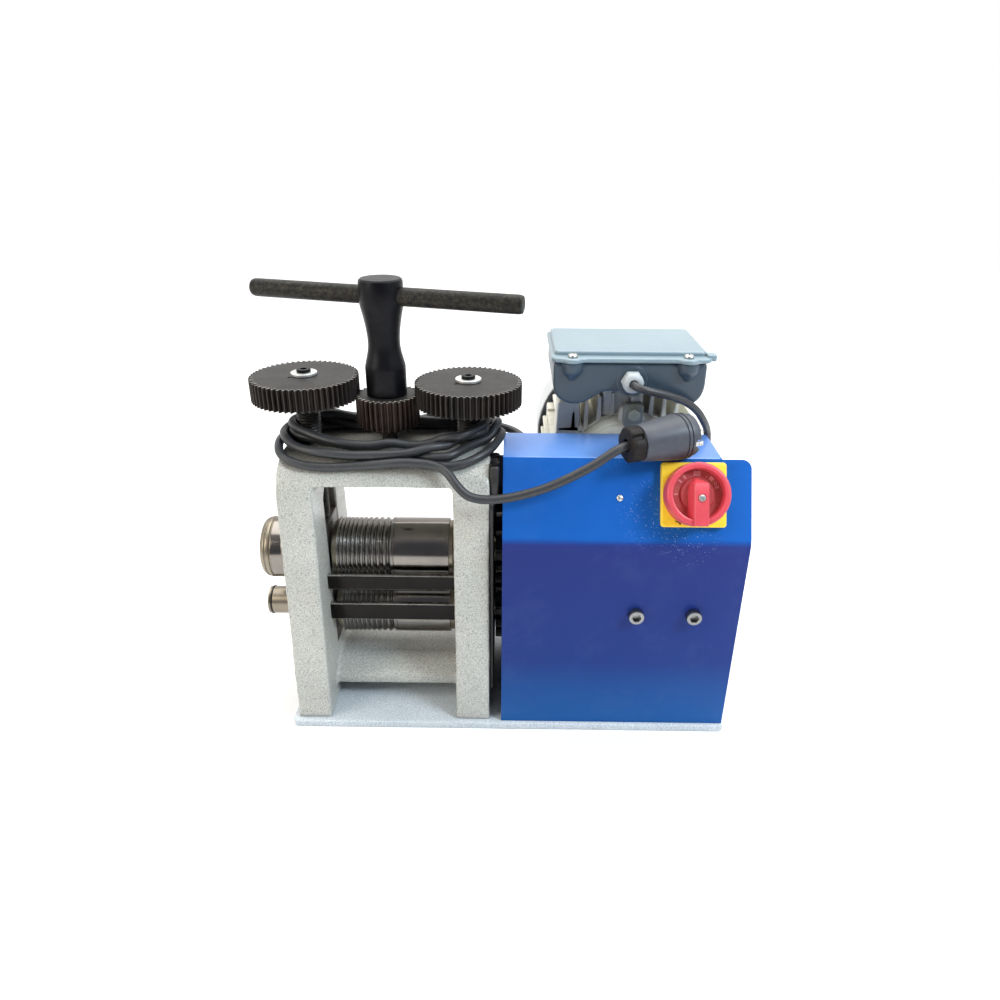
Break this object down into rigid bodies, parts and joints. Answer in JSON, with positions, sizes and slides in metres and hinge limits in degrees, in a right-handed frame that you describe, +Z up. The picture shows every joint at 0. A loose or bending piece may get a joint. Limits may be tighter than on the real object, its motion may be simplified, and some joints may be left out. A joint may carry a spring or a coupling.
{
  "type": "jewellers rolling mill",
  "caption": "Motor driven jewellers rolling mill: grooved and flat rolls between two cheeks, T-handle with gears over the pressure screws, covered worm drive and motor.",
  "frame": {"origin": "bottom centre of the machine's bounding box without its mains cord: on the underside of the base plate", "axes": "+X to the operator's right, from the side roll to the motor end; +Y away from the operator; +Z up, along the pressure screws"},
  "size_m": [0.488, 0.3265, 0.4472],
  "materials": {
    "hammertone": "hammered enamel",
    "dark_plate": "satin",
    "bright_steel": "ground and polished",
    "bar_steel": "blued, bright edges",
    "black_oxide": "blackened",
    "block_iron": "machined",
    "gear_iron": "oiled",
    "zinc": "zinc plated",
    "blue_paint": "gloss",
    "yellow_plastic": "satin",
    "red_plastic": "satin",
    "cream_paint": "painted casting",
    "cowl_paint": "satin",
    "box_grey": "satin paint",
    "gland_plastic": "satin",
    "bronze": "machined",
    "case_iron": "painted",
    "rubber": "matte",
    "collar_rubber": "matte",
    "fan_plastic": "matte"
  },
  "bodies": {
    "frame": {"base_plate": "hammertone", "mill_frame": "hammertone", "guide_bar_upper": "bar_steel", "guide_bar_lower": "bar_steel", "gear_backing_plate": "dark_plate", "cover_bracket": "dark_plate", "lower_block_left": "block_iron", "lower_block_right": "block_iron", "gearbox_housing": "case_iron", "gearbox_side_cover": "case_iron", "motor_front_shield": "cream_paint", "stator_housing": "cream_paint", "shield_bolt": "zinc", "fan_cowl": "cowl_paint", "terminal_box": "box_grey", "terminal_lid": "box_grey", "lid_screw_left": "zinc", "lid_screw_right": "zinc", "cable_gland": "gland_plastic", "motor_lead": "rubber", "front_cover": "blue_paint", "rear_cover": "blue_paint", "cover_rivet": "zinc", "cover_screw_left": "zinc", "cover_screw_right": "zinc", "switch_plate": "yellow_plastic", "mains_gland": "gland_plastic", "mains_cord_tail": "rubber", "mains_cord_winding": "rubber", "mains_cord_free": "rubber", "plug_collar": "collar_rubber", "plug_body": "rubber"},
    "handle": {"handle_bar": "black_oxide", "handle_hub": "black_oxide", "spindle": "black_oxide", "pinion": "black_oxide"},
    "carriage": {"upper_block_left": "block_iron", "upper_block_right": "block_iron"},
    "left_screw_set": {"left_screw": "black_oxide", "left_gear": "black_oxide", "left_gear_washer": "zinc", "left_gear_bolt": "dark_plate"},
    "right_screw_set": {"right_screw": "black_oxide", "right_gear": "black_oxide", "right_gear_washer": "zinc", "right_gear_bolt": "dark_plate"},
    "upper_roll_set": {"upper_roll": "bright_steel", "side_roll": "bright_steel", "upper_roll_gear": "gear_iron"},
    "lower_roll_set": {"lower_roll": "bright_steel", "lower_roll_gear": "gear_iron", "drive_gear": "gear_iron", "shaft_circlip": "dark_plate"},
    "output_set": {"output_shaft": "bright_steel", "output_pinion": "gear_iron", "worm_wheel": "bronze"},
    "rotor_set": {"motor_shaft": "bright_steel", "worm": "bright_steel", "cooling_fan": "fan_plastic"},
    "knob": {"switch_knob": "red_plastic"}
  },
  "joints": [
    {"name": "handle_turn", "type": "hinge", "parent": "frame", "child": "handle", "pos_m": [-0.102, -0.0613, 0.4315], "axis": [0, 0, 1], "range_deg": [-680, 770]},
    {"name": "carriage_lift", "type": "slide", "parent": "frame", "child": "carriage", "axis": [0, 0, 1], "range_m": [-0.0022, 0.0025]},
    {"name": "left_screw_turn", "type": "hinge", "parent": "carriage", "child": "left_screw_set", "pos_m": [-0.18075, -0.0613, 0.248], "axis": [0, 0, 1], "range_deg": [-450, 400]},
    {"name": "right_screw_turn", "type": "hinge", "parent": "carriage", "child": "right_screw_set", "pos_m": [-0.02325, -0.0613, 0.248], "axis": [0, 0, 1], "range_deg": [-450, 400]},
    {"name": "lower_roll_spin", "type": "hinge", "parent": "frame", "child": "lower_roll_set", "pos_m": [-0.102, -0.0613, 0.1005], "axis": [1, 0, 0], "continuous": true},
    {"name": "upper_roll_spin", "type": "hinge", "parent": "carriage", "child": "upper_roll_set", "pos_m": [-0.102, -0.0613, 0.168], "axis": [1, 0, 0], "continuous": true},
    {"name": "output_spin", "type": "hinge", "parent": "frame", "child": "output_set", "pos_m": [0.088, -0.09212, 0.193], "axis": [1, 0, 0], "continuous": true},
    {"name": "rotor_spin", "type": "hinge", "parent": "frame", "child": "rotor_set", "pos_m": [0.142, -0.0013, 0.243], "axis": [0, 1, 0], "continuous": true},
    {"name": "switch_turn", "type": "hinge", "parent": "frame", "child": "knob", "pos_m": [0.187, -0.12589, 0.2634], "axis": [0, -0.8903, 0.4553], "range_deg": [0, 90]}
  ],
  "couplings": [
    {"joint": "carriage_lift", "follows": "handle_turn", "m_per_rad": 0.00018428},
    {"joint": "left_screw_turn", "follows": "handle_turn", "ratio": -0.57895},
    {"joint": "right_screw_turn", "follows": "handle_turn", "ratio": -0.57895},
    {"joint": "upper_roll_spin", "follows": "lower_roll_spin", "ratio": -1},
    {"joint": "output_spin", "follows": "lower_roll_spin", "ratio": -2.25},
    {"joint": "rotor_spin", "follows": "lower_roll_spin", "ratio": -67.5}
  ]
}
